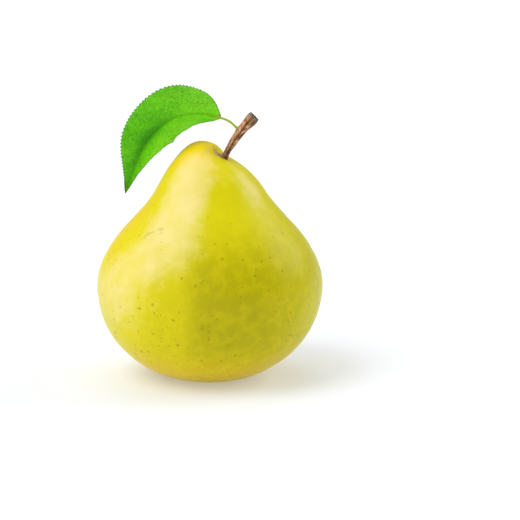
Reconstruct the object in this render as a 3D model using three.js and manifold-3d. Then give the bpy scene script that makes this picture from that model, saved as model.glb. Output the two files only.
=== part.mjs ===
// A ripe pear standing on its blossom end, with its woody stem, the leaf that grows from
// the stem, and the dried calyx in the hollow underneath.
// Millimetres, +Z up. The origin is on the surface that the pear stands on, in the middle
// of the fruit. -Y is the side that is seen first, and the leaf reaches out to -X.
import * as THREE from "three";
import { mergeVertices } from "three/addons/utils/BufferGeometryUtils.js";
import Module from "manifold-3d";

const wasm = await Module();
wasm.setup();

// Fruit: the widest ring, the waist under the crown, and the top of the crown
const BELLY_RADIUS = 37.3;
const BELLY_HEIGHT = 30.5;
const NECK_RADIUS = 18.4;
const NECK_HEIGHT = 62.3;
const NECK_SLOPE_DEG = 60;
const CROWN_HEIGHT = 78.4;

// Fruit: how far the outline runs straight on from each of those places
const REST_RUN = 5.5;
const BELLY_RUN_DOWN = 22.1;
const BELLY_RUN_UP = 14.3;
const NECK_RUN_DOWN = 10.8;
const NECK_RUN_UP = 9;
const CROWN_RUN = 8.5;

// Fruit: the flat ring that it stands on, round the hollow of the calyx
const REST_INNER_RADIUS = 9.5;
const REST_OUTER_RADIUS = 11;
const BASIN_DEPTH = 5;
const BASIN_CEILING_RADIUS = 3;
const BASIN_CEILING_RUN = 0.5;
const BASIN_RIM_RUN = 0.3;

// Fruit: the crown sways and leans to one side, down from a fleshy lip to the stem's dimple
const CROWN_SWAY = 0.54;
const CROWN_LEAN = 0.36;
const CROWN_LEAN_SPREAD = 7;
const CROWN_LEAN_TURN_DEG = 25;
const LIP_HEIGHT = 2.6;
const LIP_WALL = 0.7;
const LIP_PLACE = 1.2;
const LIP_SPREAD = 6;
const DIMPLE_DEPTH = 0.4;
const DIMPLE_SPREAD = 1.6;

// Fruit: the soft lobes that keep it from being a turned shape, as shares of its radius
const LOBES = [
  { count: 2, share: 0.01, turn: 0.5 },
  { count: 3, share: 0.007, turn: 1.9 },
  { count: 5, share: 0.004, turn: 0.2 },
];

// Stem: from its foot in the fruit to the knob where it parted from the twig
const STEM_POINTS = [
  [4.2, 0.6, 69.4],
  [5.8, 0.4, 74.6],
  [7.8, 0.2, 78.2],
  [11.1, -0.4, 83.1],
  [15, -1.6, 87.4],
];
const STEM_RADIUS = 1.25;
const STEM_KNOB_RADIUS = 1.9;
const STEM_KNOB_START = 0.32;
const STEM_RIDGES = 5;
const STEM_RIDGE_SHARE = 0.08;
const FIT_GAP = 0.3;

// Leaf: its stalk and midrib are one line, which the blade covers from BLADE_START on
const STALK_PLACE_ON_STEM = 0.69;
const STALK_RADIUS = 0.5;
const LEAF_POINTS = [
  [6.7, 0.5, 85.7],
  [2.6, 1.2, 87],
  [-3.9, 3.8, 87.5],
  [-13, 6.6, 84.8],
  [-20.9, 6.6, 77.1],
  [-27.9, 3.9, 60.7],
];
const BLADE_START = 0.125;
const BLADE_HALF_WIDTH = 12.5;
const BLADE_THICKNESS = 0.6;
const BLADE_BASE_POWER = 0.83;
const BLADE_TIP_POWER = 1.28;
const BLADE_ENDS = 0.008;
const MIDRIB_DEPTH = 0.4;

// Leaf: which way its upper face looks, and how it is folded, curled and waved
const BLADE_FACING = [0, -1, 0.2];
const BLADE_ROLL_DEG = 30;
const BLADE_FOLD_DEG = 33;
const BLADE_CURL = 0.0158;
const BLADE_WAVE = 0.34;
const BLADE_WAVES = 3;

// Leaf: the saw teeth of its edge, which point to the tip
const TEETH = 54;
const TOOTH_DEPTH = 0.7;
const TOOTH_LEAN = 0.5;

// Calyx: the dried sepals that stay from the blossom, on a small cup round the style
const SEPALS = 5;
const SEPAL_ROOT_RADIUS = 1.6;
const SEPAL_REACH = 2.8;
const SEPAL_HALF_WIDTH = 1.2;
const SEPAL_THICKNESS = 0.6;
const SEPAL_CUPPING = 0.25;
const SEPAL_TAPER = 0.8;
const SEPAL_TURN = 1.3;
const SEPAL_DROOP = 1.4;
const CUP_RADIUS = 2.3;
const CUP_HEIGHT = 1.1;
const STYLE_RADIUS = 0.5;
const STYLE_LENGTH = 1.4;
const STYLE_LEAN = [0.3, 0.2];

const skinMaterial = new THREE.MeshStandardMaterial({ color: 0xe2d84a, roughness: 0.42, metalness: 0 });
const barkMaterial = new THREE.MeshStandardMaterial({ color: 0x7a5236, roughness: 0.8, metalness: 0 });
const leafMaterial = new THREE.MeshStandardMaterial({ color: 0x55ad16, roughness: 0.5, metalness: 0 });
const driedMaterial = new THREE.MeshStandardMaterial({ color: 0x5b4030, roughness: 0.9, metalness: 0 });

const { clamp, degToRad, lerp, smoothstep } = THREE.MathUtils;
const vector = (point) => new THREE.Vector3(...point);
const bell = (distance, spread) => Math.exp(-(distance ** 2) / (2 * spread ** 2));

// A geometry as a solid, with its shared corners merged.
function toSolid(geometry) {
  const bare = new THREE.BufferGeometry();
  bare.setAttribute("position", geometry.getAttribute("position"));
  bare.setIndex(geometry.getIndex());
  const merged = mergeVertices(bare);
  const mesh = new wasm.Mesh({
    numProp: 3,
    vertProperties: merged.getAttribute("position").array,
    triVerts: new Uint32Array(merged.getIndex().array),
  });
  return new wasm.Manifold(mesh);
}

// A solid as a geometry.
function toGeometry(solid) {
  const mesh = solid.getMesh();
  const geometry = new THREE.BufferGeometry();
  geometry.setAttribute("position", new THREE.BufferAttribute(mesh.vertProperties, 3));
  geometry.setIndex(new THREE.BufferAttribute(mesh.triVerts, 1));
  geometry.computeVertexNormals();
  return geometry;
}

// A closed skin over rings of points, with a fan over each end. The second half of each ring
// is split along the other diagonal, so that both faces of a thin blade are split alike.
function loft(rings) {
  const sides = rings[0].length;
  const corners = rings.flat();
  const faces = [];
  for (let row = 0; row + 1 < rings.length; row++) {
    for (let side = 0; side < sides; side++) {
      const a = row * sides + side;
      const b = row * sides + ((side + 1) % sides);
      const c = a + sides;
      const d = b + sides;
      faces.push(...(side < sides / 2 ? [a, b, d, a, d, c] : [a, b, c, b, d, c]));
    }
  }
  for (const row of [0, rings.length - 1]) {
    const middle = corners.length;
    const sum = rings[row].reduce((total, corner) => total.add(corner), new THREE.Vector3());
    corners.push(sum.divideScalar(sides));
    for (let side = 0; side < sides; side++) {
      const a = row * sides + side;
      const b = row * sides + ((side + 1) % sides);
      faces.push(...(row === 0 ? [middle, b, a] : [middle, a, b]));
    }
  }
  const geometry = new THREE.BufferGeometry().setFromPoints(corners);
  geometry.setIndex(faces);
  geometry.computeVertexNormals();
  return geometry;
}

// A rod along a curve, its radius given by the place along it and the angle round it.
function rod(curve, steps, sides, radiusAt) {
  const frames = curve.computeFrenetFrames(steps, false);
  const rings = [];
  for (let step = 0; step <= steps; step++) {
    const centre = curve.getPointAt(step / steps);
    const ring = [];
    for (let side = 0; side < sides; side++) {
      const angle = (2 * Math.PI * side) / sides;
      const radius = radiusAt(step / steps, angle);
      const corner = centre.clone();
      corner.addScaledVector(frames.normals[step], radius * Math.cos(angle));
      corner.addScaledVector(frames.binormals[step], radius * Math.sin(angle));
      ring.push(corner);
    }
    rings.push(ring);
  }
  return loft(rings);
}

// A thin blade under a surface, which is given by the row along it and the place across it
// from -1 to 1. The lower face is the upper one moved in by the thickness there.
function blade(rows, places, surface, thicknessAt) {
  const nudge = 1e-3;
  const rings = [];
  for (let row = 0; row <= rows; row++) {
    const upper = [];
    const lower = [];
    for (const across of places) {
      const here = surface(row, across);
      const onward = surface(row + nudge, across).sub(here);
      const aside = surface(row, across + nudge).sub(here);
      const inward = onward.cross(aside).normalize();
      upper.push(here);
      lower.unshift(here.clone().addScaledVector(inward, thicknessAt(row, across)));
    }
    rings.push([...upper, ...lower]);
  }
  return loft(rings);
}

// The fruit's outline from the middle of the calyx hollow to the top of the crown.
function fruitOutline() {
  const point = (radius, height) => new THREE.Vector2(radius, height);
  const inward = Math.cos(degToRad(NECK_SLOPE_DEG));
  const upward = Math.sin(degToRad(NECK_SLOPE_DEG));
  const basin = new THREE.CubicBezierCurve(
    point(BASIN_CEILING_RADIUS, BASIN_DEPTH),
    point(lerp(BASIN_CEILING_RADIUS, REST_INNER_RADIUS, BASIN_CEILING_RUN), BASIN_DEPTH),
    point(lerp(REST_INNER_RADIUS, BASIN_CEILING_RADIUS, BASIN_RIM_RUN), 0),
    point(REST_INNER_RADIUS, 0),
  );
  const lowerBelly = new THREE.CubicBezierCurve(
    point(REST_OUTER_RADIUS, 0),
    point(REST_OUTER_RADIUS + REST_RUN, 0),
    point(BELLY_RADIUS, BELLY_HEIGHT - BELLY_RUN_DOWN),
    point(BELLY_RADIUS, BELLY_HEIGHT),
  );
  const shoulder = new THREE.CubicBezierCurve(
    point(BELLY_RADIUS, BELLY_HEIGHT),
    point(BELLY_RADIUS, BELLY_HEIGHT + BELLY_RUN_UP),
    point(NECK_RADIUS + NECK_RUN_DOWN * inward, NECK_HEIGHT - NECK_RUN_DOWN * upward),
    point(NECK_RADIUS, NECK_HEIGHT),
  );
  const crown = new THREE.CubicBezierCurve(
    point(NECK_RADIUS, NECK_HEIGHT),
    point(NECK_RADIUS - NECK_RUN_UP * inward, NECK_HEIGHT + NECK_RUN_UP * upward),
    point(CROWN_RUN, CROWN_HEIGHT),
    point(0, CROWN_HEIGHT),
  );
  return [
    point(0, BASIN_DEPTH),
    ...basin.getPoints(6),
    ...lowerBelly.getPoints(12),
    ...shoulder.getPoints(12).slice(1),
    ...crown.getPoints(22).slice(1),
  ];
}

// A corner of the turned outline, moved by the lobes, the leaning crown and its lip, and the
// stem's dimple.
function growFruit(corner) {
  const angle = Math.atan2(corner.y, corner.x);
  const onFlank = smoothstep(corner.z, 0, BELLY_HEIGHT) - smoothstep(corner.z, NECK_HEIGHT, CROWN_HEIGHT);
  let swell = 1;
  for (const { count, share, turn } of LOBES) swell += onFlank * share * Math.cos(count * (angle - turn));
  corner.x *= swell;
  corner.x += CROWN_SWAY * smoothstep(corner.z, BELLY_HEIGHT, CROWN_HEIGHT);
  corner.y *= swell;
  const onCrown = smoothstep(corner.z, BELLY_HEIGHT, NECK_HEIGHT);
  const turn = degToRad(CROWN_LEAN_TURN_DEG);
  const downhill = corner.x * Math.cos(turn) - corner.y * Math.sin(turn);
  const lean = CROWN_LEAN * downhill * bell(Math.hypot(corner.x, corner.y), CROWN_LEAN_SPREAD);
  const [stemX, stemY] = STEM_POINTS[1];
  const fromStem = Math.hypot(corner.x - stemX, corner.y - stemY);
  const pastLip = 0.5 + 0.5 * Math.tanh((downhill - LIP_PLACE) / LIP_WALL);
  const drop = LIP_HEIGHT * pastLip * bell(fromStem, LIP_SPREAD);
  corner.z -= onCrown * (lean + drop + DIMPLE_DEPTH * bell(fromStem, DIMPLE_SPREAD));
}

const stemLine = new THREE.CatmullRomCurve3(STEM_POINTS.map(vector));

// The stem's radius, which widens to the knob and is ridged lengthwise.
function stemRadius(along, angle) {
  const plain = lerp(STEM_RADIUS, STEM_KNOB_RADIUS, smoothstep(along, STEM_KNOB_START, 1));
  return plain * (1 + STEM_RIDGE_SHARE * Math.cos(STEM_RIDGES * angle));
}

function makeStem() {
  return rod(stemLine, 22, 20, stemRadius);
}

// The fruit is one solid of skin and flesh, with a plain hole where the stem's foot stands.
function makeFruit() {
  const turned = new THREE.LatheGeometry(fruitOutline(), 52);
  turned.rotateX(Math.PI / 2);
  const corners = turned.getAttribute("position");
  const corner = new THREE.Vector3();
  for (let index = 0; index < corners.count; index++) {
    growFruit(corner.fromBufferAttribute(corners, index));
    corners.setXYZ(index, corner.x, corner.y, corner.z);
  }
  const below = stemLine.getPointAt(0).addScaledVector(stemLine.getTangentAt(0), -FIT_GAP);
  const holeLine = new THREE.CatmullRomCurve3([below, ...stemLine.getSpacedPoints(8).slice(1, 5)]);
  const holeRadius = STEM_RADIUS * (1 + STEM_RIDGE_SHARE) + FIT_GAP;
  const hole = rod(holeLine, 12, 20, () => holeRadius);
  return toGeometry(toSolid(turned).subtract(toSolid(hole)));
}

// The stalk starts just off the side of the stem that its lean turns up.
function stalkRoot() {
  const onward = stemLine.getTangentAt(STALK_PLACE_ON_STEM);
  const aside = new THREE.Vector3(-onward.z, 0, onward.x).normalize();
  const clear = stemRadius(STALK_PLACE_ON_STEM, 0) + STALK_RADIUS;
  return stemLine.getPointAt(STALK_PLACE_ON_STEM).addScaledVector(aside, clear);
}

const leafLine = new THREE.CatmullRomCurve3([stalkRoot(), ...LEAF_POINTS.map(vector)]);

// The blade's half width at a place along it: round at the base, drawn out to the tip.
function bladeHalfWidth(along) {
  const outline = (place) => place ** BLADE_BASE_POWER * (1 - place) ** BLADE_TIP_POWER;
  const widest = BLADE_BASE_POWER / (BLADE_BASE_POWER + BLADE_TIP_POWER);
  return (BLADE_HALF_WIDTH * outline(along)) / outline(widest);
}

// A point of the blade's upper face: folded up along the midrib, curled back and waved.
function bladePoint(along, across, halfWidth) {
  const place = lerp(BLADE_START, 1, along);
  const onward = leafLine.getTangentAt(place);
  const facing = vector(BLADE_FACING);
  facing.addScaledVector(onward, -facing.dot(onward)).normalize();
  facing.applyAxisAngle(onward, degToRad(BLADE_ROLL_DEG));
  const aside = new THREE.Vector3().crossVectors(onward, facing);
  const reach = Math.abs(across) * halfWidth;
  const wave = BLADE_WAVE * across ** 2 * Math.sin(across - 2 * Math.PI * BLADE_WAVES * along);
  const rise = reach * Math.sin(degToRad(BLADE_FOLD_DEG)) - BLADE_CURL * reach ** 2 + wave;
  const spread = Math.sign(across) * reach * Math.cos(degToRad(BLADE_FOLD_DEG));
  return leafLine.getPointAt(place).addScaledVector(aside, spread).addScaledVector(facing, rise);
}

// The leaf is one piece: the blade with its saw-toothed edge, its midrib and its stalk.
function makeLeaf() {
  const rows = 2 * TEETH;
  const surface = (row, across) => {
    const isPoint = row % 2 >= 1;
    const atEdge = Math.abs(across) > 0.99 ? 1 : 0;
    const leaned = (row + (isPoint ? TOOTH_LEAN * atEdge : 0)) / rows;
    const along = clamp(leaned, BLADE_ENDS, 1 - BLADE_ENDS);
    const halfWidth = bladeHalfWidth(along);
    const cut = isPoint ? 0 : atEdge * Math.min(TOOTH_DEPTH, halfWidth / 4);
    return bladePoint(along, across, halfWidth - cut);
  };
  const places = [-1, -0.68, -0.36, -0.08, 0, 0.08, 0.36, 0.68, 1];
  const thicknessAt = (row, across) => BLADE_THICKNESS + (across === 0 ? MIDRIB_DEPTH * (1 - row / rows) : 0);
  const leafBlade = blade(rows, places, surface, thicknessAt);
  const stalkPoints = leafLine.getSpacedPoints(24).slice(0, 6);
  const stalk = rod(new THREE.CatmullRomCurve3(stalkPoints), 14, 8, () => STALK_RADIUS);
  return toGeometry(toSolid(leafBlade).add(toSolid(stalk)));
}

// The calyx is one dried piece: a small cup, its sepals curling out, and the withered style.
function makeCalyx() {
  const top = BASIN_DEPTH - FIT_GAP;
  const cupMiddle = top - CUP_HEIGHT / 2;
  const cupOutline = [
    new THREE.Vector2(0, cupMiddle),
    new THREE.Vector2(CUP_RADIUS * 0.5, cupMiddle),
    new THREE.Vector2(CUP_RADIUS * 0.8, top - CUP_HEIGHT),
    new THREE.Vector2(CUP_RADIUS, cupMiddle),
    new THREE.Vector2(CUP_RADIUS * 0.9, top),
    new THREE.Vector2(0, top),
  ];
  const cup = new THREE.LatheGeometry(cupOutline, 20);
  cup.rotateX(Math.PI / 2);
  let calyx = toSolid(cup);
  const rows = 7;
  const surface = (row, across) => {
    const along = row / rows;
    const out = SEPAL_ROOT_RADIUS + SEPAL_REACH * Math.sin(along * SEPAL_TURN) - SEPAL_CUPPING * across ** 2;
    const aside = SEPAL_HALF_WIDTH * across * (1 - SEPAL_TAPER * along);
    return new THREE.Vector3(out, aside, cupMiddle - SEPAL_REACH * along ** SEPAL_DROOP);
  };
  const sepal = blade(rows, [-1, -0.5, 0, 0.5, 1], surface, () => SEPAL_THICKNESS);
  for (let turned = 0; turned < SEPALS; turned++) {
    calyx = calyx.add(toSolid(sepal));
    sepal.rotateZ((2 * Math.PI) / SEPALS);
  }
  const styleTip = vector([...STYLE_LEAN, cupMiddle - STYLE_LENGTH]);
  const styleLine = new THREE.LineCurve3(vector([0, 0, top - CUP_HEIGHT / 4]), styleTip);
  const style = rod(styleLine, 2, 8, (along) => lerp(STYLE_RADIUS, STYLE_RADIUS / 2, along));
  return toGeometry(calyx.add(toSolid(style)));
}

const pear = new THREE.Group();
const pieces = [
  ["fruit", makeFruit(), skinMaterial],
  ["stem", makeStem(), barkMaterial],
  ["leaf", makeLeaf(), leafMaterial],
  ["calyx", makeCalyx(), driedMaterial],
];
for (const [name, geometry, material] of pieces) {
  const piece = new THREE.Mesh(geometry, material);
  piece.name = name;
  pear.add(piece);
}

export default pear;
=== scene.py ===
import math

import bpy
import numpy as np
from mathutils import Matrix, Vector, noise


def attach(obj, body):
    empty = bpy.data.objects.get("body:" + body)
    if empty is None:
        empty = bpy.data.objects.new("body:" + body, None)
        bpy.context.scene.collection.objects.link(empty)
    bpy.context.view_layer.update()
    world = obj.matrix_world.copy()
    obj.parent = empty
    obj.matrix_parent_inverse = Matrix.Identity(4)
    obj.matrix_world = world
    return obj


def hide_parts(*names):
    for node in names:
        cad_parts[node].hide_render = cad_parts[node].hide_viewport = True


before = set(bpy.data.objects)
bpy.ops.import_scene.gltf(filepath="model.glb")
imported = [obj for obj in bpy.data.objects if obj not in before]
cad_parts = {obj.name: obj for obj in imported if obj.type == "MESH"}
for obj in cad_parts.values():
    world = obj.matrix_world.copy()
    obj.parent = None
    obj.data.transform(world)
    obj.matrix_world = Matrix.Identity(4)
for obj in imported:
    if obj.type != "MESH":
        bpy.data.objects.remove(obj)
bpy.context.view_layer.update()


# FRUIT
# The ripe fruit of a pear tree: flesh and thin waxy skin, grown as one piece. It stands on the rim
# of its blossom end, and its crown leans, with a fleshy lip on one side of the stem's dimple.

belly_radius, belly_height = 0.0373, 0.0305
neck_radius, neck_height, neck_slope = 0.0184, 0.0623, math.radians(60.0)
crown_height, crown_run = 0.0784, 0.0085
rest_inner_radius, rest_outer_radius, rest_run = 0.0095, 0.011, 0.0055
basin_depth, basin_ceiling_radius = 0.005, 0.003
basin_ceiling_run, basin_rim_run = 0.5, 0.3
belly_run_down, belly_run_up = 0.0221, 0.0143
neck_run_down, neck_run_up = 0.0108, 0.009
crown_sway, crown_lean, crown_lean_spread = 0.00054, 0.36, 0.007
crown_lean_turn = math.radians(25.0)
lip_height, lip_wall, lip_place, lip_spread = 0.0026, 0.0007, 0.0012, 0.006
dimple_place, dimple_depth, dimple_spread = (0.0058, 0.0004), 0.0004, 0.0016
lobes = [(2, 0.010, 0.5), (3, 0.007, 1.9), (5, 0.004, 0.2)]  # count, share of the radius, turn
dents = [(0.00022, 0.012), (0.00008, 0.004)]  # depth, breadth
dents_foot = (0.0005, 0.006)

# Where the skin is marked. A foot is where a mark comes in, from none to full, and a top is where it
# goes out. Turns and spreads are in degrees, and three values are for the belly, neck and crown.
stem_russet_spread, stem_russet_side = 0.0026, (-0.0012, 0.0010)
wall_russet_drop, wall_russet_spread, wall_russet_reach = 0.0018, 0.0008, 0.0036
calyx_russet_spread, calyx_russet_top = 0.005, (0.001, 0.008)
# Painted highlight: the turns, spreads and strengths of a pale streak up the lit flank, and of a weaker
# patch on the far side of the neck.
painted_highlight_turns, painted_highlight_spreads = (-148.0, -119.0, -115.0), (20.0, 16.5, 25.5)
painted_highlight_strengths = (0.7, 1.1, 1.1)
painted_highlight_onto_neck, painted_highlight_onto_crown = (belly_height, 0.052), (0.058, 0.074)
painted_highlight_foot, painted_highlight_top = (0.010, 0.030), (0.0725, 0.0790)
painted_far_highlight_turn, painted_far_highlight_spread, painted_far_highlight_strength = -35.0, 14.0, 0.6
painted_far_highlight_foot, painted_far_highlight_top = (0.052, 0.064), (0.069, 0.075)
gilt_turn, gilt_spread = -176.0, 20.0
gilt_foot, gilt_top, gilt_fade = (0.036, 0.046), (0.056, 0.066), 0.6


def smooth(value, low, high):
    """0 below low, 1 above high, and an even rise between."""
    share = np.clip((value - low) / (high - low), 0.0, 1.0)
    return share * share * (3.0 - 2.0 * share)


def band(value, foot, top, fade=1.0):
    """Comes in between the foot's two values, and fades out between the top's."""
    return smooth(value, *foot) - fade * smooth(value, *top)


def bell(distance, spread):
    """1 at no distance, and less on both sides of it."""
    return np.exp(-(distance ** 2) / (2.0 * spread ** 2))


def flank(angle, turn_deg, spread_deg):
    """1 on the flank at the given turn, and less to both sides round the fruit."""
    aside = np.angle(np.exp(1j * (angle - np.radians(turn_deg))))
    return bell(aside, np.radians(spread_deg))


def staged(values, to_second, to_third):
    """From the first of three values to the second and on to the third, by the two shares."""
    first, second, third = values
    return first + (second - first) * to_second + (third - second) * to_third


def bezier(start, start_pull, end_pull, end, count):
    """Points on a curve between two ends, each with the place that it heads for."""
    share = np.linspace(0.0, 1.0, count)[:, None]
    start, start_pull, end_pull, end = (np.array(place) for place in (start, start_pull, end_pull, end))
    early = (1 - share) ** 3 * start + 3 * (1 - share) ** 2 * share * start_pull
    return early + 3 * (1 - share) * share ** 2 * end_pull + share ** 3 * end


def round_turn(sides):
    """Evenly spaced angles once round, in radians."""
    return np.linspace(0.0, 2.0 * math.pi, sides, endpoint=False)


def stacked(*columns):
    """Columns brought to one size and put side by side on the last axis."""
    return np.stack(np.broadcast_arrays(*columns), axis=-1)


def unevenness(places, size):
    """Soft irregular swell from -1 to 1 at each place, with bumps of about the given size."""
    flat = places.reshape(-1, 3) / size
    return np.array([noise.noise(Vector(place)) for place in flat]).reshape(places.shape[:-1])


def loft(rings):
    """Corners and faces of a closed skin over rings of points, with a fan over each end.
    What follows x, y and z in the rings is carried along as marks on the corners."""
    rows, sides, width = rings.shape
    ends = [rings[0].mean(axis=0), rings[-1].mean(axis=0)]
    corners = np.concatenate([rings.reshape(-1, width), ends])
    here = np.arange(sides)
    onward = (here + 1) % sides
    faces = []
    for row in range(rows - 1):
        low, high = row * sides, (row + 1) * sides
        faces += np.stack([low + here, low + onward, high + onward, high + here], axis=1).tolist()
    first, last = rows * sides, rows * sides + 1
    faces += [[first, b, a] for a, b in zip(here.tolist(), onward.tolist())]
    top = (rows - 1) * sides
    faces += [[last, top + a, top + b] for a, b in zip(here.tolist(), onward.tolist())]
    return corners, faces


def make_piece(name, skins, mark_names):
    """A smooth mesh object from lofted skins, with one named value on each corner for each mark."""
    corners = np.concatenate([skin[0] for skin in skins])
    faces, start = [], 0
    for skin_corners, skin_faces in skins:
        faces += [[corner + start for corner in face] for face in skin_faces]
        start += len(skin_corners)
    mesh = bpy.data.meshes.new(name)
    mesh.from_pydata(corners[:, :3].tolist(), [], faces)
    for column, mark_name in enumerate(mark_names):
        values = mesh.attributes.new(mark_name, "FLOAT", "POINT")
        values.data.foreach_set("value", corners[:, 3 + column].astype(np.float32))
    mesh.shade_smooth()
    piece = bpy.data.objects.new(name, mesh)
    bpy.context.scene.collection.objects.link(piece)
    return piece


def fruit_outline():
    """Radius and height from the ceiling of the calyx hollow, round the belly, to the crown."""
    inward, upward = math.cos(neck_slope), math.sin(neck_slope)
    basin_width = rest_inner_radius - basin_ceiling_radius
    ceiling = [(share * basin_ceiling_radius, basin_depth) for share in np.linspace(0.05, 0.95, 8)]
    basin = bezier(
        (basin_ceiling_radius, basin_depth),
        (basin_ceiling_radius + basin_ceiling_run * basin_width, basin_depth),
        (rest_inner_radius - basin_rim_run * basin_width, 0.0),
        (rest_inner_radius, 0.0),
        count=26,
    )
    lower_belly = bezier(
        (rest_outer_radius, 0.0),
        (rest_outer_radius + rest_run, 0.0),
        (belly_radius, belly_height - belly_run_down),
        (belly_radius, belly_height),
        count=70,
    )
    shoulder = bezier(
        (belly_radius, belly_height),
        (belly_radius, belly_height + belly_run_up),
        (neck_radius + neck_run_down * inward, neck_height - neck_run_down * upward),
        (neck_radius, neck_height),
        count=70,
    )
    crown = bezier(
        (neck_radius, neck_height),
        (neck_radius - neck_run_up * inward, neck_height + neck_run_up * upward),
        (crown_run, crown_height),
        (0.0, crown_height),
        count=100,
    )
    return np.concatenate([ceiling, basin, lower_belly, shoulder[1:], crown[1:-1]])


def fruit_skin(sides=288):
    outline = fruit_outline()
    radius, height = outline[:, :1], outline[:, 1:]
    angle = round_turn(sides)[None, :]
    on_flank = band(height, (0.0, belly_height), (neck_height, crown_height))
    swell = 1.0 + on_flank * sum(share * np.cos(count * (angle - turn)) for count, share, turn in lobes)
    x = radius * swell * np.cos(angle) + crown_sway * smooth(height, belly_height, crown_height)
    y = radius * swell * np.sin(angle)
    # The crown leans, drops from the lip to the stem, and dips round the stem.
    on_crown = smooth(height, belly_height, neck_height)
    from_stem = np.hypot(x - dimple_place[0], y - dimple_place[1])
    downhill = x * math.cos(crown_lean_turn) - y * math.sin(crown_lean_turn)
    lean = crown_lean * downhill * bell(np.hypot(x, y), crown_lean_spread)
    past_lip = 0.5 + 0.5 * np.tanh((downhill - lip_place) / lip_wall)
    drop = lip_height * past_lip * bell(from_stem, lip_spread)
    z = height - on_crown * (lean + drop + dimple_depth * bell(from_stem, dimple_spread))
    # Soft dents all over, which fade out on the ring that it stands on.
    places = stacked(x, y, z)
    dented = sum(depth * unevenness(places, breadth) for depth, breadth in dents) * smooth(z, *dents_foot)
    places = places + stacked(np.cos(angle), np.sin(angle), 0.0) * dented[..., None]
    x, y, z = np.moveaxis(places, -1, 0)
    # Russet: round the dimple on the lip's side, down the lip's wall, and in the calyx hollow.
    uphill = 1.0 - smooth(x - dimple_place[0], *stem_russet_side)
    on_wall = bell(downhill - lip_place - wall_russet_drop, wall_russet_spread)
    on_wall = on_wall * bell(from_stem, wall_russet_reach)
    near_stem = on_crown * np.maximum(bell(from_stem, stem_russet_spread) * uphill, on_wall)
    in_hollow = 1.0 - smooth(height, *calyx_russet_top)
    near_calyx = in_hollow * bell(np.hypot(x, y), calyx_russet_spread)
    # Painted highlight: a pale streak up one flank to the crown, and a weaker patch on the other side of the
    # neck, where the lamps' sheen falls.
    to_neck, to_crown = smooth(height, *painted_highlight_onto_neck), smooth(height, *painted_highlight_onto_crown)
    turn, spread = staged(painted_highlight_turns, to_neck, to_crown), staged(painted_highlight_spreads, to_neck, to_crown)
    painted_highlight = flank(angle, turn, spread) * staged(painted_highlight_strengths, to_neck, to_crown)
    painted_highlight = painted_highlight * band(z, painted_highlight_foot, painted_highlight_top)
    painted_far_highlight = flank(angle, painted_far_highlight_turn, painted_far_highlight_spread) * band(z, painted_far_highlight_foot, painted_far_highlight_top)
    painted_highlight = painted_highlight + painted_far_highlight_strength * painted_far_highlight
    # Gilt: the flank next to the painted highlight streak, from the shoulder up the neck.
    gilt = flank(angle, gilt_turn, gilt_spread) * band(z, gilt_foot, gilt_top, gilt_fade)
    return loft(stacked(x, y, z, near_stem, near_calyx, painted_highlight, gilt))


def paint(red, green, blue):
    """A colour as seen on screen, 0 to 255, as the linear colour that a shader takes."""
    seen = (channel / 255.0 for channel in (red, green, blue))
    return tuple(c / 12.92 if c <= 0.04045 else ((c + 0.055) / 1.055) ** 2.4 for c in seen) + (1.0,)


def new_material(name):
    """A material, its node tree and its main shader."""
    material = bpy.data.materials.new(name)
    material.use_nodes = True
    return material, material.node_tree, material.node_tree.nodes["Principled BSDF"]


def node(tree, kind, inputs, **settings):
    """A shader node with its settings, and its inputs linked or set."""
    made = tree.nodes.new("ShaderNode" + kind)
    for key, value in settings.items():
        setattr(made, key, value)
    for key, value in inputs.items():
        if isinstance(value, bpy.types.NodeSocket):
            tree.links.new(value, made.inputs[key])
        else:
            made.inputs[key].default_value = value
    return made


def reckon(tree, operation, *values):
    return node(tree, "Math", dict(enumerate(values)), operation=operation).outputs[0]


def product(tree, first, second):
    return reckon(tree, "MULTIPLY", first, second)


def cover(tree, share, under, over):
    """One colour over another, by the given share."""
    return node(tree, "Mix", {0: share, 6: under, 7: over}, data_type="RGBA").outputs[2]


def rise(tree, value, low, high, least=0.0, most=1.0):
    """An even rise from least to most as the value goes from low to high."""
    inputs = {"Value": value, "From Min": low, "From Max": high, "To Min": least, "To Max": most}
    return node(tree, "MapRange", inputs, interpolation_type="SMOOTHSTEP").outputs["Result"]


def mark(tree, name):
    return node(tree, "Attribute", {}, attribute_name=name).outputs["Fac"]


def object_place(tree):
    return node(tree, "TexCoord", {}).outputs["Object"]


def cloud(tree, place, size, detail=3.0, distortion=0.0):
    """Noise from 0 to 1 with patches of about the given size in metres."""
    inputs = {"Vector": place, "Scale": 1.0 / size, "Detail": detail, "Distortion": distortion}
    return node(tree, "TexNoise", inputs).outputs["Fac"]


def roughen(tree, shader, height, strength, depth):
    """Fine relief on the surface, too small for the mesh."""
    relief = node(tree, "Bump", {"Height": height, "Strength": strength, "Distance": depth})
    tree.links.new(relief.outputs["Normal"], shader.inputs["Normal"])


# Colours of the skin, and where they lie: a pair runs from none to full along one axis. Patches,
# pitches and grains are the sizes of its patterns.
ripe_yellow, young_green, olive_and_painted_shade = paint(224, 211, 12), paint(200, 196, 4), paint(174, 165, 2)
base_gold, crown_gold, gilt_yellow = paint(230, 196, 4), paint(252, 212, 2), paint(236, 208, 0)
# The cream on the next line is the colour of the painted highlight.
mottle_yellow, highlight_cream = paint(228, 214, 18), paint(243, 224, 152)
pore_olive, scuff_olive = paint(146, 122, 0), paint(168, 148, 0)
cork_brown, cork_tan, hollow_cork = paint(112, 62, 32), paint(206, 148, 104), paint(140, 96, 48)
green_slope, green_start, green_patch = 10.0, -0.25, 0.02
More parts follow.
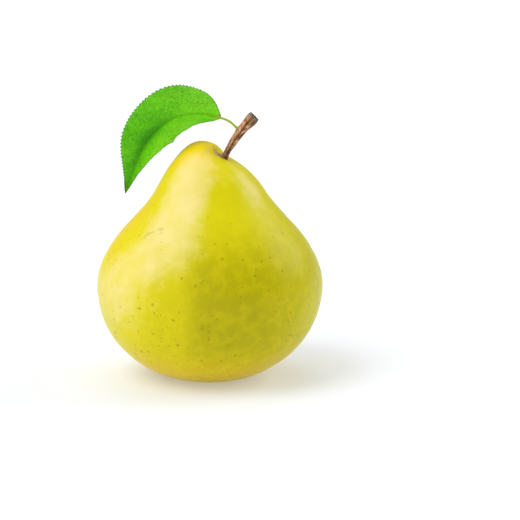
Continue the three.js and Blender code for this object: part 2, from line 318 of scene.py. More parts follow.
# Olive: partly the skin's own olive tone, partly painted shade that darkens the lower right flank.
olive_shade_start, olive_shade_rise, olive_shade_end = (-0.026, -0.014), (-0.012, 0.001), (0.036, 0.014)
olive_shade_top = (0.062, 0.038)
base_gold_height, crown_gold_height, crown_gold_side = (0.019, 0.002), (0.068, 0.078), (0.006, -0.004)
mottle_patch, highlight_patch = 0.0035, 0.010
pore_height, pore_cluster = (0.070, 0.022), 0.007
pore_layers = [(0.0022, 0.27, 0.6), (0.0015, 0.30, 0.4)]  # pitch, share of the pitch, strength
scuffs = [
    ((-0.0187, -0.0200, 0.0519), (-0.0152, -0.0205, 0.0533)),
    ((-0.0198, -0.0194, 0.0513), (-0.0196, -0.0201, 0.0501)),
    ((0.0150, 0.0310, 0.0360), (0.0195, 0.0285, 0.0335)),
]
scuff_width, scuff_waver, scuff_wavers_per_metre = (0.0011, 0.0002), 0.007, 260.0
cork_patch, cork_tone_patch = 0.0012, 0.0011
gloss_patch, skin_grain, skin_grain_depth = 0.006, 0.0006, 0.0002


def scuff_share(tree, place, start, end):
    """How much of the skin is rubbed, by the distance from the line between start and end."""
    reach = np.array(end) - np.array(start)
    from_start = node(tree, "VectorMath", {0: place, 1: start}, operation="SUBTRACT").outputs[0]
    along = node(tree, "VectorMath", {0: from_start, 1: reach / (reach @ reach)}, operation="DOT_PRODUCT")
    held = node(tree, "Clamp", {"Value": along.outputs["Value"]}).outputs[0]
    on_line = node(tree, "VectorMath", {0: tuple(reach), "Scale": held}, operation="SCALE").outputs[0]
    gap = node(tree, "VectorMath", {0: from_start, 1: on_line}, operation="DISTANCE").outputs["Value"]
    return rise(tree, gap, *scuff_width, 0.0, 0.35)


def pore_share(tree, place, clusters):
    """Round pores of uneven size, present by chance where the clusters are."""
    spots = 0.0
    for pitch, reach, strength in pore_layers:
        pores = node(tree, "TexVoronoi", {"Vector": place, "Scale": 1.0 / pitch})
        chance = node(tree, "SeparateColor", {"Color": pores.outputs["Color"]}).outputs
        present = reckon(tree, "LESS_THAN", chance["Red"], clusters)
        size = rise(tree, chance["Green"], 0.0, 1.0, 0.6 * reach, 1.3 * reach)
        near = reckon(tree, "DIVIDE", pores.outputs["Distance"], size)
        spot = product(tree, rise(tree, near, 1.0, 0.3, 0.0, strength), present)
        spots = reckon(tree, "MAXIMUM", spots, spot)
    return spots


def skin_material():
    material, tree, shader = new_material("pear_skin")
    place = object_place(tree)
    axes = node(tree, "SeparateXYZ", {"Vector": place}).outputs
    painted_highlight_mark = mark(tree, "painted_highlight")
    # Ground colour: ripe yellow, greener to one side and in patches, gold at the crown and the base.
    toward_green = reckon(tree, "MULTIPLY_ADD", axes["X"], green_slope, green_start)
    toward_green = reckon(tree, "ADD", toward_green, cloud(tree, place, green_patch))
    ground = cover(tree, toward_green, ripe_yellow, young_green)
    # Olive on the lower right flank: partly the skin's own tone, partly painted shade.
    olive_shade = product(tree, rise(tree, axes["X"], *olive_shade_rise, 0.28, 0.85), rise(tree, axes["Z"], *olive_shade_top))
    olive_shade = product(tree, olive_shade, rise(tree, axes["X"], *olive_shade_start))
    olive_shade = product(tree, olive_shade, rise(tree, axes["X"], *olive_shade_end, 0.4, 1.0))
    ground = cover(tree, olive_shade, ground, olive_and_painted_shade)
    ground = cover(tree, rise(tree, axes["Z"], *base_gold_height, 0.0, 0.8), ground, base_gold)
    on_crown = rise(tree, axes["Z"], *crown_gold_height)
    on_crown = product(tree, on_crown, rise(tree, axes["X"], *crown_gold_side))
    ground = cover(tree, on_crown, ground, crown_gold)
    ground = cover(tree, product(tree, mark(tree, "gilt"), 0.8), ground, gilt_yellow)
    mottle = cloud(tree, place, mottle_patch, 4.0)
    ground = cover(tree, rise(tree, mottle, 0.35, 0.7, 0.0, 0.3), ground, mottle_yellow)
    # Painted highlight: a pale cream sheen with a frayed, patchy edge along the marked streak.
    frayed = rise(tree, reckon(tree, "MULTIPLY_ADD", mottle, 0.6, painted_highlight_mark), 0.46, 1.20)
    patchy = rise(tree, cloud(tree, place, highlight_patch), 0.3, 0.65, 0.4, 0.75)
    ground = cover(tree, product(tree, frayed, patchy), ground, highlight_cream)
    # Lenticels: soft olive breathing pores in loose clusters, most of them low down and few under the
    # painted highlight.
    low_down = product(tree, rise(tree, axes["Z"], *pore_height), rise(tree, painted_highlight_mark, 0.7, 0.1, 0.3, 1.0))
    clusters = rise(tree, cloud(tree, place, pore_cluster, 2.0), 0.38, 0.62, 0.08, 0.75)
    spots = pore_share(tree, place, product(tree, clusters, low_down))
    ground = cover(tree, spots, ground, pore_olive)
    # Scuffs: short rubbed lines on the shoulder, broken up by the grain of the skin.
    shaken = node(tree, "TexNoise", {"Vector": place, "Scale": scuff_wavers_per_metre}).outputs["Color"]
    offset = node(tree, "VectorMath", {0: shaken, 1: (0.5, 0.5, 0.5)}, operation="SUBTRACT").outputs[0]
    nudge = {0: offset, 1: (scuff_waver,) * 3, 2: place}
    nudged = node(tree, "VectorMath", nudge, operation="MULTIPLY_ADD").outputs[0]
    for start, end in scuffs:
        ground = cover(tree, scuff_share(tree, nudged, start, end), ground, scuff_olive)
    # Russet: a thin brown net of cork where the skin stretched round the stem and the calyx.
    cork = rise(tree, cloud(tree, place, cork_patch, 5.0, 0.6), 0.3, 0.6, 0.45, 1.0)
    stem_russet = rise(tree, product(tree, mark(tree, "near_stem"), cork), 0.15, 0.55, 0.0, 0.9)
    tone = rise(tree, cloud(tree, place, cork_tone_patch), 0.4, 0.6)
    ground = cover(tree, stem_russet, ground, cover(tree, tone, cork_brown, cork_tan))
    calyx_russet = rise(tree, product(tree, mark(tree, "near_calyx"), cork), 0.1, 0.5, 0.0, 0.85)
    ground = cover(tree, calyx_russet, ground, hollow_cork)
    tree.links.new(ground, shader.inputs["Base Color"])
    gloss = rise(tree, cloud(tree, place, gloss_patch), 0.3, 0.7, 0.3, 0.38)
    tree.links.new(gloss, shader.inputs["Roughness"])
    sunken = reckon(tree, "MULTIPLY_ADD", spots, -0.6, cloud(tree, place, skin_grain, 2.0))
    roughen(tree, shader, sunken, 0.12, skin_grain_depth)
    shader.inputs["Specular IOR Level"].default_value = 0.12
    shader.inputs["Subsurface Weight"].default_value = 0.1
    shader.inputs["Subsurface Radius"].default_value = (1.0, 0.8, 0.1)
    shader.inputs["Subsurface Scale"].default_value = 0.002
    return material


# The third mark is the painted highlight streak.
fruit = make_piece("fruit_skin", [fruit_skin()], ["near_stem", "near_calyx", "painted_highlight", "gilt"])
fruit.data.materials.append(skin_material())
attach(fruit, "root")
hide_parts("fruit")


# STEM
# The fruit's woody stalk, dry and ridged lengthwise. It grows out of the dimple in the crown, leans
# away from the lip, and swells to the knob where it broke off the twig.

stem_points = np.array([
    (0.0042, 0.0006, 0.0694),
    (0.0058, 0.0004, 0.0746),
    (0.0078, 0.0002, 0.0782),
    (0.0111, -0.0004, 0.0831),
    (0.0150, -0.0016, 0.0874),
])
stem_radius, stem_knob_radius, stem_knob_start = 0.00125, 0.0019, 0.32
stem_waist, stem_waist_place, stem_waist_spread = 0.0001, 0.76, 0.07
stem_flare, stem_flare_place, stem_flare_spread = 0.00014, 0.94, 0.05
stem_foot_shrink, stem_foot_end = 0.0002, (0.3, 0.48)
bark_ridges = [(5, 0.55, 0.0, 0.0), (8, 0.3, 1.3, 0.0), (13, 0.25, 0.0, 4.0)]  # count, share, turn, wind
bark_twist, ridge_depth, wrinkle_depth = 0.5, 0.075, 0.05
wrinkles_around, wrinkles_along, finer_wrinkles = 2.2, 9.0, 2.7
end_splits, split_depth, split_start = [(3, 0.5, 0.6), (4, 0.5, 2.0)], 0.09, 0.86
end_jags, jag_height, jag_start = [(2, 0.6, 0.9), (5, 0.4, 2.2)], 0.0003, 0.9
rim_rounding, rim_start = 0.10, 0.965
broken_face = [  # share of the rim, lift
    (0.98, 0.00012),
    (0.93, 0.0002),
    (0.84, 0.0002),
    (0.7, 0.0001),
    (0.5, 0.0),
    (0.28, 0.00005),
    (0.1, 0.0001),
]
broken_edge, broken_roughness, broken_grain = (0.86, 0.99), 0.0004, 0.0009


def smooth_line(points, count):
    """Evenly spaced points on a smooth line through the given ones."""
    padded = np.concatenate([[2 * points[0] - points[1]], points, [2 * points[-1] - points[-2]]])
    pieces = []
    for a, b, c, d in zip(padded[:-3], padded[1:-2], padded[2:-1], padded[3:]):
        early, middle, late = (math.sqrt(np.linalg.norm(step)) for step in (b - a, c - b, d - c))
        leaving = middle * ((b - a) / early - (c - a) / (early + middle) + (c - b) / middle)
        arriving = middle * ((c - b) / middle - (d - b) / (middle + late) + (d - c) / late)
        share = np.linspace(0.0, 1.0, 60, endpoint=False)[:, None]
        cubic = 2 * b - 2 * c + leaving + arriving
        square = -3 * b + 3 * c - 2 * leaving - arriving
        pieces.append(b + leaving * share + square * share ** 2 + cubic * share ** 3)
    dense = np.concatenate(pieces + [points[-1:]])
    run = np.concatenate([[0.0], np.cumsum(np.linalg.norm(np.diff(dense, axis=0), axis=1))])
    wanted = np.linspace(0.0, run[-1], count)
    return np.stack([np.interp(wanted, run, dense[:, axis]) for axis in range(3)], axis=1)


def unit(vectors):
    return vectors / np.linalg.norm(vectors, axis=-1, keepdims=True)


def rod_rings(line, radii, sides):
    """Rings round a line, with the radius given for each row and side."""
    onward = unit(np.gradient(line, axis=0))
    across = unit(np.cross(onward, (0.0, 1.0, 0.0)))
    aside = np.cross(onward, across)
    angle = round_turn(sides)[None, :, None]
    turned = across[:, None] * np.cos(angle) + aside[:, None] * np.sin(angle)
    return line[:, None] + turned * np.broadcast_to(radii, turned.shape[:2])[..., None]


def waves(angle, parts):
    """Waves round a ring, from the count, share and turn of each."""
    return sum(share * np.cos(count * angle + turn) for count, share, turn in parts)


def stem_skin(rows=200, sides=120):
    line = smooth_line(stem_points, rows)
    end, onward = line[-1], unit(line[-1] - line[-6])
    along = np.linspace(0.0, 1.0, rows)[:, None]
    angle = round_turn(sides)[None, :]
    plain = stem_radius + (stem_knob_radius - stem_radius) * smooth(along, stem_knob_start, 1.0)
    plain = plain - stem_waist * bell(along - stem_waist_place, stem_waist_spread)
    plain = plain + stem_flare * bell(along - stem_flare_place, stem_flare_spread)
    plain = plain - stem_foot_shrink * (1.0 - smooth(along, *stem_foot_end))
    # Bark: ridges that wind round the stem a little, long wrinkles, and splits at the broken end.
    wound = [(count, share, turn + wind * along) for count, share, turn, wind in bark_ridges]
    ridges = waves(angle + bark_twist * along, wound)
    bark = stacked(wrinkles_around * np.cos(angle), wrinkles_around * np.sin(angle), wrinkles_along * along)
    wrinkles = unevenness(bark, 1.0) + 0.5 * unevenness(bark * finer_wrinkles + 5.0, 1.0)
    splits = smooth(along, split_start, 1.0) * waves(angle, end_splits)
    radii = plain * (1.0 + ridge_depth * ridges + wrinkle_depth * wrinkles + split_depth * splits)
    radii = radii * (1.0 - rim_rounding * smooth(along, rim_start, 1.0))
    jags = smooth(along, jag_start, 1.0) * waves(angle, end_jags)
    rings = rod_rings(line, radii, sides) + onward * jag_height * jags[..., None]
    # The ridge mark: the ridges and wrinkles, with painted light on the upper left side of the stem and
    # painted shade on the lower right.
    raised = np.clip(0.5 + 0.35 * ridges + 0.4 * wrinkles + 0.24 * np.cos(angle), 0.0, 1.0)
    body = np.concatenate([rings, stacked(along, raised, 0.0)], axis=-1)
    # The broken end: a rounded rim, then a rough, slightly hollow face.
    rim = rings[-1] - end
    face = []
    for share, lift in broken_face:
        ring = end + rim * share + onward * lift
        if share < 0.95:
            ring = ring + onward * broken_roughness * unevenness(ring, broken_grain)[:, None]
        broken = 1.0 - smooth(share, *broken_edge)
        face.append(np.concatenate([ring, stacked(1.0, raised[-1], broken)], axis=-1))
    return loft(np.concatenate([body, face]))


# Colours of the bark, and the sizes of its patterns.
groove_brown, ridge_tan, streak_brown = paint(70, 32, 4), paint(236, 176, 130), paint(96, 48, 14)
weathered_tan, speck_tan = paint(160, 118, 72), paint(206, 168, 122)
knob_brown, foot_painted_shade = paint(112, 86, 48), paint(66, 36, 14)
scar_dark, scar_pale = paint(36, 22, 14), paint(176, 164, 142)
fibre_lean, fibre_squeeze = 0.62, 0.16
fibre_width, weather_patch, speck_pitch, scar_patch = 0.0004, 0.0022, 0.0008, 0.0008
bark_grain, bark_grain_depth = 0.0003, 0.0002


def bark_material():
    material, tree, shader = new_material("stem_bark")
    place = object_place(tree)
    ridge_and_lit_side, along = mark(tree, "ridge_and_lit_side"), mark(tree, "along")
    # Dark grooves and tan ridges by the ridge mark, which also carries the painted light and shade of the
    # two sides.
    bark = cover(tree, rise(tree, ridge_and_lit_side, 0.32, 0.62), groove_brown, ridge_tan)
    laid = {"Vector": place, "Rotation": (0.0, fibre_lean, 0.0), "Scale": (1.0, 1.0, fibre_squeeze)}
    fibres = node(tree, "Mapping", laid).outputs["Vector"]
    streaks = rise(tree, cloud(tree, fibres, fibre_width, 4.0), 0.45, 0.56, 0.0, 0.8)
    bark = cover(tree, streaks, bark, streak_brown)
    weather = rise(tree, cloud(tree, place, weather_patch, 4.0), 0.48, 0.66, 0.0, 0.4)
    bark = cover(tree, weather, bark, weathered_tan)
    specks = node(tree, "TexVoronoi", {"Vector": place, "Scale": 1.0 / speck_pitch}).outputs["Distance"]
    bark = cover(tree, rise(tree, specks, 0.24, 0.14, 0.0, 0.5), bark, speck_tan)
    bark = cover(tree, rise(tree, along, 0.8, 0.97, 0.0, 0.55), bark, knob_brown)
    # Painted shade: darker brown at the foot, where the stem goes into the dimple.
    bark = cover(tree, rise(tree, along, 0.40, 0.33, 0.0, 0.5), bark, foot_painted_shade)
    torn = rise(tree, cloud(tree, place, scar_patch, 4.0), 0.50, 0.60)
    bark = cover(tree, mark(tree, "broken"), bark, cover(tree, torn, scar_dark, scar_pale))
    tree.links.new(bark, shader.inputs["Base Color"])
    tree.links.new(rise(tree, ridge_and_lit_side, 0.0, 1.0, 0.9, 0.62), shader.inputs["Roughness"])
    roughen(tree, shader, cloud(tree, fibres, bark_grain, 5.0), 0.35, bark_grain_depth)
    return material


stem = make_piece("stem_stalk", [stem_skin()], ["along", "ridge_and_lit_side", "broken"])
stem.data.materials.append(bark_material())
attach(stem, "root")
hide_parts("stem")


# LEAF
# A fresh leaf on a short stalk from the side of the stem: a blade folded up along its sunken midrib,
# with a net of veins and a finely saw-toothed edge. It arches over and hangs down to its tip.

leaf_points = np.array([
    (0.0067, 0.0005, 0.0857),
    (0.0026, 0.0012, 0.0870),
    (-0.0039, 0.0038, 0.0875),
    (-0.0130, 0.0066, 0.0848),
    (-0.0209, 0.0066, 0.0771),
    (-0.0279, 0.0039, 0.0607),
])
leaf_steps = 1200
stalk_place_on_stem, stalk_end = 0.69, 0.191
stalk_radius, stalk_root_swell, stalk_groove = 0.0004, 0.00022, 0.12
blade_start, blade_half_width = 0.125, 0.0125
blade_base_power, blade_tip_power = 0.83, 1.28
blade_facing, blade_roll, blade_fold = np.array([0.0, -1.0, 0.2]), math.radians(30.0), math.radians(33.0)
blade_curl, blade_wave, blade_waves = 15.8, 0.00028, 3.0
blade_thickness, blade_thinnest, edge_width = 0.00036, 0.0001, 0.0009
teeth, tooth_depth, tooth_rise = 54, 0.0007, 0.8
teeth_foot, teeth_top = (0.08, 0.24), (0.85, 1.0)
ragged_depth, ragged_bites, ragged_finer = 0.0003, 9.0, 3.1
vein_pitch, vein_forward, vein_bend = 0.0041, 0.75, 26.0
vein_width, vein_depth, vein_keel = 0.00016, 0.00006, 0.00012
midrib_width, midrib_depth, midrib_keel, midrib_keel_width = 0.00028, 0.00022, 0.0005, 0.00035
pillow_height, pillow_edge, pillow_valley = 0.0001, 0.002, 0.0008
# Where the painted shade in the crease of the fold lies.
fold_shade_width, fold_shade_foot, fold_shade_top = 0.0010, (0.25, 0.6), (0.65, 0.95)


def leaf_line(stem_rows=400):
    """Points from the leaf's root on the flank of the stem to its tip."""
    stem_line = smooth_line(stem_points, stem_rows)
    at = int(round(stalk_place_on_stem * (stem_rows - 1)))
    onward = unit(stem_line[at + 1] - stem_line[at - 1])
    aside = unit(np.array([-onward[2], 0.0, onward[0]]))
    root = stem_line[at] + aside * stem_radius
    return smooth_line(np.concatenate([[root], leaf_points]), leaf_steps + 1)


def blade_outline(along):
    """The blade's half width, from its base at 0 to its tip at 1."""
    def shape(place):
        return place ** blade_base_power * (1 - place) ** blade_tip_power

    widest = blade_base_power / (blade_base_power + blade_tip_power)
    return blade_half_width * shape(along) / shape(widest)


def blade_skin(rows=340, columns=44):
    line = leaf_line()
    first = int(round(blade_start * leaf_steps))
    along = np.linspace(0.004, 0.996, rows)
    picked = first + along * (leaf_steps - first)
    steps = np.arange(leaf_steps + 1)
    centre = np.stack([np.interp(picked, steps, line[:, axis]) for axis in range(3)], axis=1)
    onward = unit(np.gradient(centre, axis=0))
    facing = unit(blade_facing - (onward @ blade_facing)[:, None] * onward)
    aside = np.cross(onward, facing)
    facing, aside = (
        facing * math.cos(blade_roll) + aside * math.sin(blade_roll),
        aside * math.cos(blade_roll) - facing * math.sin(blade_roll),
    )
    length = np.linalg.norm(np.diff(centre, axis=0), axis=1).sum()
    along = along[:, None]
    half_width = blade_outline(along)
    # Across: closer together at the midrib and at the edge.
    even = np.linspace(-1.0, 1.0, 2 * columns + 1)
    across = (0.65 * even + 0.35 * np.sign(even) * even ** 2)[None, :]
    side, out = np.sign(across), np.abs(across)
    # Saw teeth: a slow rise and a quick fall, so that each one points to the tip.
    saw = along * teeth % 1.0
    saw = np.where(saw < tooth_rise, saw / tooth_rise, (1.0 - saw) / (1.0 - tooth_rise))
    bite = tooth_depth * smooth(along, *teeth_foot) * (1 - 0.5 * smooth(along, *teeth_top))
    reach = out * half_width - np.minimum(bite, half_width / 4) * (1.0 - saw) * smooth(out, 0.86, 1.0)
    # The lower edge is ragged, where it was nibbled.
    bites = stacked(ragged_bites * along, 0.0, 0.0)
    ragged = ragged_depth * (unevenness(bites, 1.0) + unevenness(ragged_finer * bites, 1.0))
    reach = reach + ragged * (side < 0) * smooth(out, 0.4, 1.0) * smooth(half_width, 0.001, 0.005)
    rise_up = reach * math.sin(blade_fold) - blade_curl * reach ** 2
    rise_up = rise_up + blade_wave * across ** 2 * np.sin(across - 2 * math.pi * blade_waves * along)
    # Veins: pairs that leave the midrib slantwise and bend towards the tip, with pillows between.
    run = along * length - vein_forward * reach - vein_bend * reach ** 2
    step = (run / vein_pitch + 0.25 * side) % 1.0
    from_vein = np.abs(step - 0.5) * vein_pitch * 0.8
    fading = (1.0 - smooth(out, 0.7, 0.97)) * smooth(half_width, 0.0012, 0.004)
    vein = bell(from_vein, vein_width) * fading
    midrib = bell(reach, midrib_width) * (1.0 - 0.6 * smooth(along, 0.5, 1.0))
    pillow = 1.0 - bell(from_vein, pillow_valley) * fading
    pillow = pillow * smooth(reach, 0.0, pillow_edge) * smooth(half_width - reach, 0.0, pillow_edge)
    relief = pillow_height * pillow - vein_depth * vein - midrib_depth * midrib
    upper = (
        centre[:, None]
        + aside[:, None] * (side * reach * math.cos(blade_fold))[..., None]
        + facing[:, None] * (rise_up + relief)[..., None]
    )
    normal = unit(np.cross(np.gradient(upper, axis=1), np.gradient(upper, axis=0)))
    thick = blade_thickness * (1.0 - 0.5 * smooth(out, 0.8, 1.0)) + relief * 0.6 + vein_keel * vein
    thick = thick + midrib_keel * bell(reach, midrib_keel_width) * (1.0 - 0.75 * along)
    lower = upper - normal * np.minimum(thick, 0.3 * half_width + blade_thinnest)[..., None]
    # Marks: the worn edge, most at the points of the teeth, and the painted shade in the crease of the fold.
    edge = smooth(out, 1.0 - edge_width / np.maximum(half_width, edge_width), 1.0)
    edge = edge * np.where(side > 0, 0.2 + 0.8 * saw, 0.4)
    fold_shade = bell(np.where(across > 0, reach - fold_shade_width, reach), fold_shade_width)
    fold_shade = fold_shade * band(along, fold_shade_foot, fold_shade_top)
    marks = [along, side * reach, vein, midrib, fold_shade, edge]
    top = np.concatenate([upper, stacked(*marks, 0.0)], axis=-1)
    bottom = np.concatenate([lower, stacked(*marks, 1.0)], axis=-1)
    return loft(np.concatenate([top, bottom[:, ::-1]], axis=1))


def stalk_skin(rows=90, sides=24):
    last = int(round(stalk_end * leaf_steps))
    line = leaf_line()[np.linspace(0, last, rows).astype(int)]
    along = np.linspace(0.0, 1.0, rows)[:, None]
    angle = round_turn(sides)[None, :]
    swollen = stalk_root_swell * bell(along, 0.06)
    tapering = 1.0 - 0.75 * smooth(along, 0.62, 1.0)
    groove = 1.0 - stalk_groove * bell(np.cos(angle) - 1.0, 0.3)
    rings = rod_rings(line, (stalk_radius * tapering + swollen) * groove, sides)
    none = np.zeros(rings.shape[:2])
    marks = stacked(none, none, none, 1.0, none, none, 0.5)
    return loft(np.concatenate([rings, marks], axis=-1))


def cover_value(tree, share, under, over):
    """One value going over into another, by the given share."""
    return node(tree, "Mix", {0: share, 2: under, 3: over}).outputs[0]


# Colours of the leaf, how far from the midrib some of them lie, and the sizes of its patterns.
blade_green, blade_light, painted_lit_half = paint(74, 170, 4), paint(106, 200, 10), paint(128, 208, 12)
base_painted_sheen, midrib_painted_light, fine_light = paint(136, 210, 34), paint(134, 216, 24), paint(120, 210, 20)
net_dark, fleck_dark, fold_painted_shade = paint(44, 128, 2), paint(46, 130, 2), paint(44, 132, 2)
vein_pale, rib_pale, underside_pale = paint(130, 206, 44), paint(120, 190, 34), paint(150, 192, 84)
stalk_olive, worn_brown, tip_brown = paint(158, 176, 40), paint(58, 52, 6), paint(104, 108, 26)
painted_lit_side, base_sheen_side, midrib_painted_strip = (-0.0018, -0.0075), (-0.002, 0.003), (0.005, 0.0005)
blade_length, net_pitch = 0.046, 0.0007
green_cloud, fine_cloud, fleck_size, fleck_cloud = 0.005, 0.00045, 0.0006, 0.007
worn_patch, sheen_patch, leaf_relief_depth = 0.0014, 0.003, 0.0002


def leaf_material():
    material, tree, shader = new_material("leaf_green")
    place = object_place(tree)
    along, sideways, under = mark(tree, "along"), mark(tree, "sideways"), mark(tree, "under")
    # Ground colour: the half that is folded to the light is painted lighter and yellower as painted light,
    # and the upper half at the base has a painted sheen.
    patches = rise(tree, cloud(tree, place, green_cloud), 0.3, 0.7)
    green = cover(tree, patches, blade_green, blade_light)
    green = cover(tree, rise(tree, sideways, *painted_lit_side, 0.0, 0.75), green, painted_lit_half)
    # Painted sheen: the upper half near the base is lighter.
    base_sheen = product(tree, rise(tree, along, 0.5, 0.12, 0.0, 0.75), rise(tree, sideways, *base_sheen_side))
    green = cover(tree, base_sheen, green, base_painted_sheen)
    # The net of fine veins, with lighter and darker flecks between them.
    flat_place = node(tree, "CombineXYZ", {"X": along, "Y": sideways}).outputs[0]
    laid_out = {"Vector": flat_place, "Scale": (blade_length, 1.0, 1.0)}
    laid_out = node(tree, "Mapping", laid_out).outputs["Vector"]
    net = {"Vector": laid_out, "Scale": 1.0 / net_pitch}
    cells = node(tree, "TexVoronoi", net, feature="DISTANCE_TO_EDGE").outputs["Distance"]
    green = cover(tree, rise(tree, cells, 0.02, 0.22, 0.4, 0.0), green, net_dark)
    fine = rise(tree, cloud(tree, place, fine_cloud), 0.4, 0.65, 0.0, 0.4)
    green = cover(tree, fine, green, fine_light)
    flecked = rise(tree, cloud(tree, place, fleck_cloud, 2.0), 0.4, 0.6, 0.35, 1.0)
    flecks = product(tree, rise(tree, cloud(tree, place, fleck_size, 4.0), 0.5, 0.64, 0.0, 0.6), flecked)
    green = cover(tree, flecks, green, fleck_dark)
    # Side veins, a strip of painted light along the midrib near the base, the painted shade in the crease of
    # the fold, and the midrib itself.
    green = cover(tree, product(tree, mark(tree, "vein"), 0.22), green, vein_pale)
    # Painted light: a lighter strip along the midrib near the base, which lifts the shade there.
    painted_light_by_midrib = rise(tree, reckon(tree, "ABSOLUTE", sideways), *midrib_painted_strip)
    painted_light_by_midrib = product(tree, painted_light_by_midrib, rise(tree, along, 0.55, 0.2, 0.0, 0.45))
    green = cover(tree, painted_light_by_midrib, green, midrib_painted_light)
    # Painted shade: darker green in the crease of the fold, on the upper face only.
    fold_shade = product(tree, mark(tree, "fold_shade"), rise(tree, under, 0.0, 1.0, 0.65, 0.0))
    green = cover(tree, fold_shade, green, fold_painted_shade)
    rib = product(tree, mark(tree, "midrib"), rise(tree, under, 0.0, 1.0, 0.25, 0.7))
    green = cover(tree, rib, green, rib_pale)
    green = cover(tree, rise(tree, under, 0.0, 1.0, 0.0, 0.5), green, underside_pale)
    green = cover(tree, rise(tree, along, 0.03, 0.0), green, stalk_olive)
    # The edge and the tip are worn brown.
    worn = rise(tree, cloud(tree, place, worn_patch, 2.0), 0.3, 0.55, 0.5, 1.0)
    green = cover(tree, product(tree, mark(tree, "edge"), worn), green, worn_brown)
    green = cover(tree, rise(tree, along, 0.96, 1.0, 0.0, 0.6), green, tip_brown)
    tree.links.new(green, shader.inputs["Base Color"])
    sheen = rise(tree, cloud(tree, place, sheen_patch), 0.3, 0.7, 0.36, 0.5)
    tree.links.new(cover_value(tree, under, sheen, 0.65), shader.inputs["Roughness"])
    raised = reckon(tree, "MULTIPLY_ADD", rise(tree, cells, 0.0, 0.3), 0.8, fine)
    roughen(tree, shader, raised, 0.3, leaf_relief_depth)
    shader.inputs["Specular IOR Level"].default_value = 0.12
    shader.inputs["Subsurface Weight"].default_value = 0.35
    shader.inputs["Subsurface Radius"].default_value = (0.4, 1.0, 0.05)
    shader.inputs["Subsurface Scale"].default_value = 0.001
    return material


leaf_marks = ["along", "sideways", "vein", "midrib", "fold_shade", "edge", "under"]
leaf = make_piece("leaf_blade", [blade_skin(), stalk_skin()], leaf_marks)
leaf.data.materials.append(leaf_material())
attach(leaf, "root")
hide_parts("leaf")


# CALYX
# What is left of the blossom in the hollow under the fruit: a small dry cup with curled, crumpled
# sepals round it and a tuft of withered stamens, brown and brittle.

cup_radius, cup_height, cup_gap = 0.0023, 0.0011, 0.0003
cup_top = basin_depth - cup_gap
cup_bottom, cup_middle = cup_top - cup_height, cup_top - cup_height / 2
cup_step, cup_pleats, cup_pleat_depth = 0.0003, 10, 0.06
sepals, sepal_reach, sepal_half_width, sepal_thickness = 5, 0.0028, 0.0012, 0.0004
sepal_root, sepal_taper, sepal_turn, sepal_droop, sepal_tip = 0.7, 0.7, 1.3, 1.4, 0.00008
sepal_cupping, sepal_curl, sepal_sway, sepal_crumple = (0.0002, 0.0005), 0.0005, 0.0003, 0.00016
stamens, stamen_radius, stamen_turn = 11, 0.00013, 2.4
stamen_root, stamen_sunk, stamen_bow, stamen_head = 0.0004, 0.0002, 0.0004, 1.2
stamen_lean, stamen_length = (0.0004, 0.0011), (0.0014, 0.0023)


def cup_skin(sides=60):
    outline = [  # share of the radius, height
        (0.02, cup_middle),
        (0.5, cup_middle),
        (0.7, cup_middle - cup_step),
        (0.8, cup_bottom),
        (0.95, cup_bottom + 0.2 * cup_height),
        (1.0, cup_middle),
        (0.95, cup_top - 0.1 * cup_height),
        (0.85, cup_top),
        (0.02, cup_top),
    ]
    angle = round_turn(sides)
    pleated = cup_radius * (1.0 + cup_pleat_depth * np.cos(cup_pleats * angle))
    rings = [stacked(share * pleated * np.cos(angle), share * pleated * np.sin(angle), height, 0.0)
             for share, height in outline]
    return loft(np.array(rings))


def sepal_skin(turn, curl, rows=40, columns=16):
    along = np.linspace(0.0, 1.0, rows)[:, None]
    across = np.linspace(-1.0, 1.0, columns + 1)[None, :]
    width = sepal_half_width * (1.0 - along) ** sepal_taper * (1.0 + 0.25 * np.sin(3 * along)) + sepal_tip
    cupping = (sepal_cupping[0] + sepal_cupping[1] * along) * across ** 2 * width / sepal_half_width
    out = sepal_root * cup_radius + sepal_reach * np.sin(along * sepal_turn) - cupping
    down = cup_middle - sepal_reach * along ** sepal_droop + curl * smooth(along, 0.6, 1.0)
    aside = width * across + sepal_sway * along * math.sin(5 * turn)
    crumple = sepal_crumple * np.sin(9 * along + 4 * across + 3 * turn) * (0.3 + along)
    upper = stacked(out + crumple, aside, down + 0.5 * crumple)
    normal = unit(np.cross(np.gradient(upper, axis=0), np.gradient(upper, axis=1)))
    lower = upper + normal * sepal_thickness
    x, y, z = np.moveaxis(np.concatenate([upper, lower[:, ::-1]], axis=1), -1, 0)
    turned_x = x * math.cos(turn) - y * math.sin(turn)
    turned_y = x * math.sin(turn) + y * math.cos(turn)
    return loft(stacked(turned_x, turned_y, z, along))


def stamen_skin(turn, lean, length, rows=24, sides=10):
    share = np.linspace(0.0, 1.0, rows)
    out = stamen_root + lean * share + stamen_bow * share ** 2
    height = cup_middle + stamen_sunk - length * share
    line = stacked(out * np.cos(turn + share), out * np.sin(turn + share), height)
    thick = stamen_radius * (1.0 + stamen_head * bell(share - 0.95, 0.06))
    rings = rod_rings(line, thick[:, None], sides)
    tip = np.broadcast_to(share[:, None], rings.shape[:2])
    return loft(np.concatenate([rings, tip[..., None]], axis=-1))


# Colours of the dried blossom, and the sizes of its patterns.
sepal_dark, sepal_brown = paint(62, 40, 28), paint(128, 92, 62)
withered_tip, downy_tan = paint(48, 32, 24), paint(176, 154, 120)
sepal_patch, sepal_dull_patch, sepal_down, sepal_relief_depth = 0.0009, 0.0008, 0.0003, 0.0002


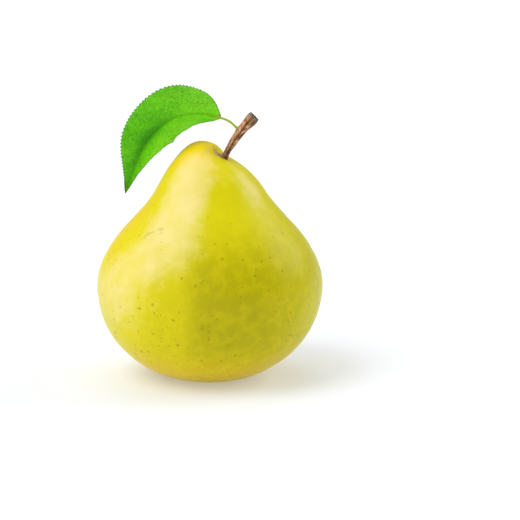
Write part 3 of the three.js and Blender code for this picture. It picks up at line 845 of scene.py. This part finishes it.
def dried_material():
    material, tree, shader = new_material("dried_sepal")
    place = object_place(tree)
    brown = cover(tree, cloud(tree, place, sepal_patch, 4.0), sepal_dark, sepal_brown)
    brown = cover(tree, rise(tree, mark(tree, "tip"), 0.5, 1.0, 0.0, 0.6), brown, withered_tip)
    down = rise(tree, cloud(tree, place, sepal_down, 2.0), 0.55, 0.7, 0.0, 0.4)
    brown = cover(tree, down, brown, downy_tan)
    tree.links.new(brown, shader.inputs["Base Color"])
    dull = rise(tree, cloud(tree, place, sepal_dull_patch), 0.3, 0.7, 0.75, 0.95)
    tree.links.new(dull, shader.inputs["Roughness"])
    roughen(tree, shader, cloud(tree, place, sepal_down, 4.0), 0.5, sepal_relief_depth)
    return material


calyx_skins = [cup_skin()]
for number in range(sepals):
    turn = 2.0 * math.pi * number / sepals + 0.12 * math.sin(7 * number)
    calyx_skins.append(sepal_skin(turn, sepal_curl * (number % 3)))
for number in range(stamens):
    lean = np.interp(math.sin(stamen_turn * number), (-1.0, 1.0), stamen_lean)
    length = np.interp(number % 4, (0, 3), stamen_length)
    calyx_skins.append(stamen_skin(stamen_turn * number, lean, length))
calyx = make_piece("calyx_sepals", calyx_skins, ["tip"])
calyx.data.materials.append(dried_material())
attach(calyx, "root")
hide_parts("calyx")


# STAGE
# A plain white table, faintly lit through from below, under soft daylight from the upper left, with
# light from above and a rim light from behind on the right. The camera stands a little above the
# fruit, on a long lens.

table_reach = 6.0
table_corners = [(x * table_reach, y * table_reach, 0.0) for x, y in ((-1, -1), (1, -1), (1, 1), (-1, 1))]
table_mesh = bpy.data.meshes.new("table")
table_mesh.from_pydata(table_corners, [], [[0, 1, 2, 3]])
table = bpy.data.objects.new("table", table_mesh)
bpy.context.scene.collection.objects.link(table)
table_white, _, table_shader = new_material("table_white")
table_shader.inputs["Base Color"].default_value = (0.67, 0.68, 0.71, 1.0)
table_shader.inputs["Roughness"].default_value = 0.7
table_shader.inputs["Emission Color"].default_value = (0.93, 0.96, 1.0, 1.0)
table_shader.inputs["Emission Strength"].default_value = 0.29
table_mesh.materials.append(table_white)

room = bpy.data.worlds.new("soft_room")
room.use_nodes = True
room_light = room.node_tree.nodes["Background"]
room_light.inputs["Color"].default_value = (1.0, 1.0, 1.0, 1.0)
room_light.inputs["Strength"].default_value = 0.36
bpy.context.scene.world = room


def soft_light(name, coming_from, strength, spread_deg):
    light = bpy.data.lights.new(name, "SUN")
    light.energy = strength
    light.angle = math.radians(spread_deg)
    lamp = bpy.data.objects.new(name, light)
    lamp.rotation_euler = Vector(coming_from).to_track_quat("Z", "Y").to_euler()
    bpy.context.scene.collection.objects.link(lamp)


soft_light("window", (-0.53, -0.30, 0.76), 1.52, 42.0)
soft_light("skylight", (-0.18, 0.35, 0.90), 0.84, 60.0)
soft_light("rim", (0.80, 0.35, 0.50), 1.05, 40.0)
soft_light("front", (-0.25, -0.85, 0.28), 0.49, 60.0)

view_aim, view_distance, view_elevation = Vector((0.017, -0.0002, 0.039)), 0.9, math.radians(12.0)
picture_width, pixels_per_metre, film_width = 520.0, 3000.0, 36.0
lens = bpy.data.cameras.new("view")
lens.sensor_width = film_width
lens.lens = film_width * view_distance * pixels_per_metre / picture_width
lens.clip_end = 50.0
camera = bpy.data.objects.new("view", lens)
toward_camera = Vector((0.0, -math.cos(view_elevation), math.sin(view_elevation)))
camera.location = view_aim + view_distance * toward_camera
camera.rotation_euler = (math.pi / 2 - view_elevation, 0.0, 0.0)
bpy.context.scene.collection.objects.link(camera)
bpy.context.scene.camera = camera
bpy.context.scene.view_settings.view_transform = "Standard"
